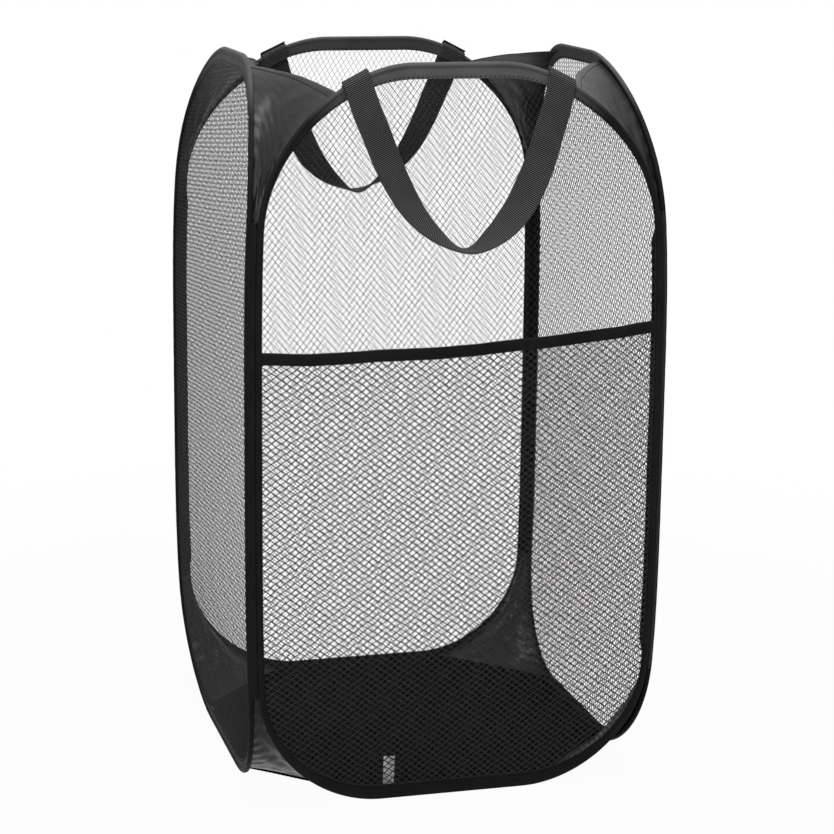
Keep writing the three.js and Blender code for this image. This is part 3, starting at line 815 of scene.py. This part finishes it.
def makeGusset(corner, turn, atTop):
    name = corner + ("_top" if atTop else "_bottom")
    low, high, lowEnd, highEnd = [onGusset(up, along, atTop, turn) for along in (0, 1) for up in (0, 1)]
    width = (highEnd - high).length
    narrow = (lowEnd - low).length
    sideRise = ((high - low).length + (highEnd - lowEnd).length) / 2
    rise = math.sqrt(sideRise ** 2 - ((width - narrow) / 2) ** 2)
    bm = layCloth(
        gusset["columns"], gusset["rows"], lambda s, t: onGusset(t, s, atTop, turn), (width, rise))
    piece = keepPiece(bm, name + "_taffeta", finishes["taffeta"], turn)
    thicken(piece, gusset["thickness"])
    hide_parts(name + "_gusset")
    followCorner(piece, corner)


# The folded hem along the free edge of a gusset, sewn with two rows
def makeHem(corner, turn, atTop):
    length = (onGusset(1, 1, atTop, turn) - onGusset(1, 0, atTop, turn)).length
    low = gussetEdge(0, atTop)
    firstShare, secondShare = [
        hem["width"] / (gussetEdge(angle, atTop) - low).length for angle in hemAngles(turn, atTop)]
    upStep = hem["upStep"]
    alongStep = hem["alongStep"]

    def place(s, spot):
        down, out = spot
        along = hem["endShare"] + s * (1 - 2 * hem["endShare"])
        up = 1 - down * (firstShare + (secondShare - firstShare) * along)
        middle = onGusset(up, along, atTop, turn)
        rise = onGusset(up + upStep, along, atTop, turn) - onGusset(up - upStep, along, atTop, turn)
        run = onGusset(up, along + alongStep, atTop, turn) - onGusset(up, along - alongStep, atTop, turn)
        return middle + rise.cross(run).normalized() * out * hem["half"]

    bm = layBand(gusset["columns"], bothFaces(hem["sectionShares"]), place, (length, hem["width"] * 2))
    name = corner + ("_top" if atTop else "_bottom") + "_hem"
    piece = keepPiece(bm, name, finishes["taffeta"], turn)
    followCorner(piece, corner)


# The corner seam: a strip joins the upright edges of two loops, and the edges of their tapes
# are sewn together and turned in from it
cornerSeam = {
    "endShare": 0.94,  # it ends at this share of the loops' radii
    "standOff": 0.0007,
    "depth": 0.0112,
    "endDepth": 0.0045,
    "endRun": 0.03,  # the turned in edges grow to their full depth along this
    "tipRun": 0.006,  # and its ends are rounded off in this
    "tipShare": 0.4,
    "stations": 190,
    "girthShare": 2.4,  # the way round it, as a share of its depth
    "sway": 0.0007,
    "swayScale": 26,
    "swaySeed": 0.5,
    "crimp": 0.00018,
    "crimpScales": (150, 2),
    "seedStep": 2.1,
    # places round the section: share of the depth, and distance to the side
    "section": [
        (-0.03, 0), (-0.02, 0.002), (0, 0.0036), (0.1, 0.0036), (0.12, 0.002), (0.14, 0.0009),
        (0.3, 0.0008), (0.5, 0.00085), (0.7, 0.0008), (0.78, 0.0005), (0.84, 0.0008), (0.95, 0.0008),
        (1, 0.0004)],
}


def makeCornerSeam(corner, turn):
    seam = cornerSeam
    low = form["bottomRadius"] * seam["endShare"]
    high = form["height"] - form["topRadius"] * seam["endShare"]
    seed = turn * seam["seedStep"]
    inwards = Vector((diagonal, diagonal, 0))
    across = Vector((diagonal, -diagonal, 0))

    def place(s, spot):
        share, out = spot
        height = low + (high - low) * s
        edge = onPanel(-foldLine, height, seam["standOff"])
        root = Vector(((edge.x + edge.y) / 2, (edge.x + edge.y) / 2, height))
        fromEnd = min(1, min(s, 1 - s) * (high - low) / seam["endRun"])
        grown = fromEnd * fromEnd * (3 - 2 * fromEnd)
        depth = seam["endDepth"] + (seam["depth"] - seam["endDepth"]) * grown
        fromTip = min(1, min(s, 1 - s) * (high - low) / seam["tipRun"])
        out *= seam["tipShare"] + (1 - seam["tipShare"]) * fromTip
        sway = noise.noise(Vector((height * seam["swayScale"], seam["swaySeed"], seed))) * max(0, share) ** 2
        crimp = unevenness(height, share, seam["crimpScales"], seed) * seam["crimp"]
        return root + inwards * (share * depth) + across * (out + sway * seam["sway"] + crimp)

    size = (high - low, seam["depth"] * seam["girthShare"])
    bm = layBand(seam["stations"], bothFaces(seam["section"]), place, size)
    piece = keepPiece(bm, corner + "_joining_tape", finishes["tape"], turn)
    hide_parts(corner + "_corner_seam")
    followCorner(piece, corner)


for turn, corner in enumerate(corners):
    for atTop in (True, False):
        makeGusset(corner, turn, atTop)
        makeHem(corner, turn, atTop)
    makeCornerSeam(corner, turn)
print("corners made")

# Base: a square of cloth with its corners cut off where the gussets rise
base = {
    "cells": 110,
    "thickness": 0.0005,
    "lift": 0.0004,
    "seam": 0.001,  # the edges are sewn this far into the bindings
    "overlap": 0.0022,  # the cut corners reach this far past the hems of the gussets
    "wave": 0.0022,
    "waveScale": 9,
    "wavePower": 6,  # the waves fade out towards the edges
    "creaseShare": 0.5,
    "creaseScale": 2.3,  # times the waves' scale
    "creasePlace": (4, 1, 0),
    "turnUp": 0.0062,  # the sewn edge is turned up against the bindings and gussets
    "turnRun": 0.008,
    "cornerShare": 0.5,  # and this much more at the cut corners
    "cornerRun": 0.02,
    "foldedShare": 0.05,  # share that is left of its depth when the hamper is folded
}


def makeBase():
    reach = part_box("base_panel")[1].x + base["seam"]
    hemEnd = gussetEdge(gusset["bottomAngle"], False)
    cut = -hemEnd.x - hemEnd.y + base["overlap"] - reach
    bm = layCloth(
        base["cells"], base["cells"], lambda s, t: Vector(((2 * s - 1) * reach, (2 * t - 1) * reach, 0)),
        (2 * reach, 2 * reach))
    for quarter in range(4):
        out = quarterTurn(quarter) @ Vector((1, 1, 0))
        edge = quarterTurn(quarter) @ Vector((reach, cut, 0))
        bmesh.ops.bisect_plane(
            bm, geom=bm.verts[:] + bm.edges[:] + bm.faces[:], plane_co=edge, plane_no=out, clear_outer=True)
    for vert in bm.verts:
        x = abs(vert.co.x)
        y = abs(vert.co.y)
        share = max(x, y) / reach
        spot = vert.co * base["waveScale"]
        swell = noise.noise(spot) * 0.5 + 0.5
        crease = abs(noise.noise(spot * base["creaseScale"] + Vector(base["creasePlace"])))
        wave = base["wave"] * max(0, 1 - share ** base["wavePower"]) * (swell + base["creaseShare"] * crease)
        fromEdge = min(reach - max(x, y), (reach + cut - x - y) / math.sqrt(2))
        turned = max(0, 1 - fromEdge / base["turnRun"]) ** 2 * base["turnUp"]
        atCorner = max(0, min(1, (x + y - reach - cut + base["cornerRun"]) / base["cornerRun"]))
        turned *= 1 + base["cornerShare"] * atCorner
        vert.co.z = base["lift"] + wave + turned
    piece = keepPiece(bm, "base_cloth", finishes["base"])
    thicken(piece, base["thickness"])
    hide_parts("base_panel")
    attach(piece, "front")
    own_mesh(piece)


makeBase()

# A bare tag sewn inside the front's lower binding
tag = {
    "width": 0.010, "height": 0.027, "thickness": 0.0003, "lower": 0.0105, "offset": -0.059, "tilt": 0.05,
    "curl": 0.0006, "cup": 0.0002, "columns": 12, "rows": 30,
}


def makeTag():
    def place(s, t):
        across = (s - 0.5) * tag["width"]
        up = t * tag["height"]
        curl = tag["curl"] * t ** 2 + tag["cup"] * math.cos(math.pi * (s - 0.5))
        return onPanel(
            tag["offset"] + across + up * tag["tilt"], tag["lower"] + up - across * tag["tilt"],
            -(form["tapeHalf"] + tag["thickness"] + curl))

    bm = layCloth(tag["columns"], tag["rows"], place, (tag["width"], tag["height"]))
    piece = keepPiece(bm, "bare_tag", finishes["tag"])
    thicken(piece, tag["thickness"])
    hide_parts("blank_tag")
    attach(piece, "front")


makeTag()
print("base and tag made")

# Handles of ribbed webbing: their ends are folded over the rim and the strap hangs outside
webbing = {
    "width": 0.025,
    "thickness": 0.0015,
    "reach": 0.096,  # from the middle of the rim to the middle of a handle's end
    "drop": 0.146,  # from the rim's top edge to the lowest point of the strap
    "standoff": 0.0145,
    "start": 0.003,
    "tabDepth": 0.012,
    "bendInset": 0.0028,  # a folded end goes round the rim from here
    "clearance": 0.0003,
    "ribHeight": 0.00013,
    "rowsPerRib": 4,
    "overSteps": 12,
    "foldSteps": 24,
    "smoothSteps": 24,
    "hinge": 0.161,  # from the hamper's middle to the strap's sewn end
    "hingeTop": 0.598,  # the strap turns with the swing more and more
    "hingeFoot": 0.576,  # from one of these heights to the other
    "reachShares": [1, 0.905, 0.8, 0.7, 0.585, 0.45, 0.25, 0],
    "dropShares": [0, 0.15, 0.3, 0.46, 0.62, 0.77, 0.91, 1],
    "turnShares": [0, 0, 0.04, 0.12, 0.23, 0.42, 0.7, 1],
    # places across the width and through the thickness
    "sectionShares": [
        (-1, 0), (-0.97, 0.9), (-0.9, 1), (-0.75, 1), (-0.5, 1), (-0.25, 1), (0, 1), (0.25, 1), (0.5, 1),
        (0.75, 1), (0.9, 1), (0.97, 0.9), (1, 0)],
}
endAngle = math.acos((webbing["reach"] - form["loopHalf"] + form["topRadius"]) / form["topRadius"])
tabFace = form["tapeHalf"] + webbing["clearance"] + webbing["thickness"] / 2
strapFace = tabFace + webbing["thickness"] + webbing["clearance"]


def smoothLine(points, steps):
    ends = [points[0] * 2 - points[1]] + points + [points[-1] * 2 - points[-2]]
    line = []
    for index in range(len(points) - 1):
        a, b, c, d = ends[index:index + 4]
        for step in range(steps):
            t = step / steps
            line.append((b * 2 + (c - a) * t + (a * 2 - b * 5 + c * 4 - d) * t ** 2
                         + (b * 3 - a - c * 3 + d) * t ** 3) * 0.5)
    return line + [points[-1]]


# How far along a line each of its places is
def lineLengths(line):
    lengths = [0]
    for here, there in zip(line, line[1:]):
        lengths.append(lengths[-1] + (there - here).xyz.length)
    return lengths


# The same line with its places evenly apart
def evenLine(line, count):
    lengths = lineLengths(line)
    even = []
    index = 0
    for step in range(count + 1):
        wanted = lengths[-1] * step / count
        while index < len(line) - 2 and lengths[index + 1] < wanted:
            index += 1
        share = (wanted - lengths[index]) / (lengths[index + 1] - lengths[index])
        even.append(line[index].lerp(line[index + 1], share))
    return even


# A line whose rows follow the ribs, and its length
def ribbedLine(line):
    length = lineLengths(line)[-1]
    rows = round(length / webbingLook["ribPitch"]) * webbing["rowsPerRib"]
    return evenLine(line, rows), length


# Webbing with its ribs raised: place(row, across, height) settles each point of its rows
def layWebbing(name, turn, rows, length, place):
    face = webbing["sectionShares"]

    def settle(s, spot):
        across, through = spot
        rib = webbing["ribHeight"] * math.sin(2 * math.pi * s * length / webbingLook["ribPitch"])
        height = through * (webbing["thickness"] / 2 + rib)
        return place(round(s * rows), across * webbing["width"] / 2, height)

    ring = face + [(across, -through) for across, through in reversed(face[1:-1])]
    bm = layBand(rows, ring, settle, (length, webbing["width"] * 2))
    return keepPiece(bm, name, finishes["webbing"], turn)


# A place on the loop's upper arc, an inset down from its outer edge
def onRim(inset, angle):
    radius = form["topRadius"] - inset
    u = form["loopHalf"] - form["topRadius"] + radius * math.cos(angle)
    return u, form["height"] - form["topRadius"] + radius * math.sin(angle)


def otherHalf(line):
    return [Vector((-point.x, point.y, point.z, point.w)) for point in reversed(line)]


# The strap's line on the panel: u, v, n and how far the webbing is turned on edge
def strapLine():
    start = webbing["start"]
    topInset = -(webbing["thickness"] * 1.5 + webbing["clearance"] * 2)
    over = []
    for step in range(webbing["overSteps"]):
        angle = math.pi / 2 * (1 - step / webbing["overSteps"])
        u, v = onRim(start + (topInset - start) * math.sin(angle), endAngle)
        over.append(Vector((u, v, strapFace * math.cos(angle), 0)))
    startU, startV = onRim(start, endAngle)
    lowest = form["height"] - webbing["drop"]
    hanging = []
    for reach, drop, turn in zip(webbing["reachShares"], webbing["dropShares"], webbing["turnShares"]):
        hanging.append(Vector((
            reach * startU, startV + (lowest - startV) * drop,
            strapFace + (webbing["standoff"] - strapFace) * turn, turn)))
    hung = smoothLine(hanging + otherHalf(hanging[:-1]), webbing["smoothSteps"])
    return over + hung + otherHalf(over)


def makeStrap(panel, turn):
    line, length = ribbedLine(strapLine())
    last = len(line) - 1
    frames = []
    for index, point in enumerate(line):
        run = (line[min(index + 1, last)] - line[max(index - 1, 0)]).xyz.normalized()
        beside = Vector((-run.y, run.x, 0)).normalized()
        angle = point.w * math.pi / 2
        wide = beside * math.cos(angle) + Vector((0, 0, math.sin(angle)))
        thick = run.cross(wide).normalized()
        frames.append((point.xyz, wide, thick))

    def place(row, across, height):
        point, wide, thick = frames[row]
        return onPanel(*(point + wide * across + thick * height))

    piece = layWebbing(panel + "_handle_webbing", turn, last, length, place)
    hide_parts(panel + "_handle_strap")
    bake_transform(piece)


# A place by a handle's end: along runs beside the rim, inset down from its top edge
def atHandleEnd(side, along, inset, out):
    u, v = onRim(inset, endAngle + along / form["topRadius"])
    return onPanel(side * u, v, out)


def makeTab(panel, turn, side):
    bend = webbing["bendInset"]
    topInset = -(webbing["clearance"] + webbing["thickness"] / 2)
    folded = [Vector((webbing["tabDepth"], -tabFace, 0))]
    for step in range(webbing["foldSteps"] + 1):
        angle = math.pi * step / webbing["foldSteps"]
        folded.append(Vector((bend - (bend - topInset) * math.sin(angle), -tabFace * math.cos(angle), 0)))
    folded.append(Vector((webbing["tabDepth"], tabFace, 0)))
    line, length = ribbedLine(folded)
    last = len(line) - 1

    def place(row, across, height):
        run = (line[min(row + 1, last)] - line[max(row - 1, 0)]).normalized()
        spot = line[row] + Vector((-run.y, run.x, 0)) * height
        return atHandleEnd(side, across, spot.x, spot.y)

    hand = "right" if (side > 0) == (panel == "front") else "left"
    name = panel + "_handle_" + hand
    piece = layWebbing(name + "_fold", turn, last, length, place)
    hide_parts(name + "_tab")
    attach(piece, panel)


for turn, panel in ((0, "front"), (2, "back")):
    makeStrap(panel, turn)
    for side in (1, -1):
        makeTab(panel, turn, side)
print("handles made")

# Studio: a pale floor, a big soft lamp overhead and a weaker one in front
studio = {
    "floorSize": 12,
    "floorShade": 0.5,
    "floorGlow": 0.965,  # share of the floor's own white that the camera sees
    "glowNear": 0.5,  # out from here the floor turns to plain white
    "glowFar": 1.1,
    "worldLevel": 0.08,
    "lamps": [
        {"name": "overhead", "place": (0.2, -0.3, 2.6), "size": 1.1, "watts": 54},
        {"name": "front_fill", "place": (-1.6, -3.1, 1.9), "size": 2.2, "watts": 60},
    ],
}


# 1 for what the camera sees, also in or through things, and 0 for the light on them
def seenByCamera(maker):
    path = maker.node("LightPath")
    return path.part("Is Camera Ray") + path.part("Is Glossy Ray") + path.part("Is Transmission Ray")


def makeFloor():
    material, maker = newFinish("pale_floor")
    seen = seenByCamera(maker)
    glow = maker.node("Emission", None, {"Color": grey(1), "Strength": 1.0})
    plain = maker.node("BsdfDiffuse", None, {"Color": grey(studio["floorShade"])})
    reach = maker.node("VectorMath", {"operation": "LENGTH"}, {0: maker.objectPlace()}, output="Value")
    far = maker.easeOver(reach, studio["glowNear"], studio["glowFar"], studio["floorGlow"], 1.0)
    mixed = maker.node("MixShader", None, {0: seen * far, 1: plain, 2: glow})
    maker.node("OutputMaterial", None, {"Surface": mixed})
    bm = bmesh.new()
    bmesh.ops.create_grid(bm, x_segments=1, y_segments=1, size=studio["floorSize"] / 2)
    meshObject(bm, "floor", material)


def makeWorld():
    world = bpy.data.worlds.new("studio")
    scene.world = world
    world.use_nodes = True
    maker = NodeMaker(world.node_tree)
    seen = seenByCamera(maker)
    white = maker.node("Background", None, {"Color": grey(1), "Strength": 1.0})
    soft = maker.node("Background", None, {"Color": grey(1), "Strength": studio["worldLevel"]})
    mixed = maker.node("MixShader", None, {0: seen, 1: soft, 2: white})
    maker.node("OutputWorld", None, {"Surface": mixed})


def hangLamp(lamp):
    light = bpy.data.lights.new(lamp["name"], "AREA")
    light.shape = "SQUARE"
    light.size = lamp["size"]
    light.energy = lamp["watts"]
    holder = addObject(lamp["name"], light)
    holder.location = lamp["place"]
    aim = Vector((0, 0, middleHeight)) - Vector(lamp["place"])
    holder.rotation_euler = aim.to_track_quat("-Z", "Y").to_euler()


makeFloor()
makeWorld()
for lamp in studio["lamps"]:
    hangLamp(lamp)
print("studio made")

# Camera where the photographer stood
view = {
    "place": (-0.535, -1.977, 0.7558),
    "yaw": 15.143,
    "pitch": 12.412,
    "roll": 0.56,
    "sensor": 36,
    "focalPixels": 2384.8,
    "imagePixels": 834,
    "axisX": 405.34,  # where the lens axis meets the picture
    "axisY": 397.69,
}


def makeCamera():
    data = bpy.data.cameras.new("camera")
    pixels = view["imagePixels"]
    data.sensor_width = view["sensor"]
    data.lens = data.sensor_width * view["focalPixels"] / pixels
    data.shift_x = (pixels / 2 - view["axisX"]) / pixels
    data.shift_y = (view["axisY"] - pixels / 2) / pixels
    camera = addObject("camera", data)
    yaw = math.radians(view["yaw"])
    pitch = math.radians(view["pitch"])
    ahead = Vector((math.sin(yaw) * math.cos(pitch), math.cos(yaw) * math.cos(pitch), -math.sin(pitch)))
    right = Vector((math.cos(yaw), -math.sin(yaw), 0))
    level = Matrix((right, right.cross(ahead), -ahead)).transposed()
    camera.matrix_world = Matrix.LocRotScale(
        Vector(view["place"]), level @ Matrix.Rotation(math.radians(view["roll"]), 3, "Z"), None)
    scene.camera = camera


makeCamera()
scene.view_settings.view_transform = "Standard"
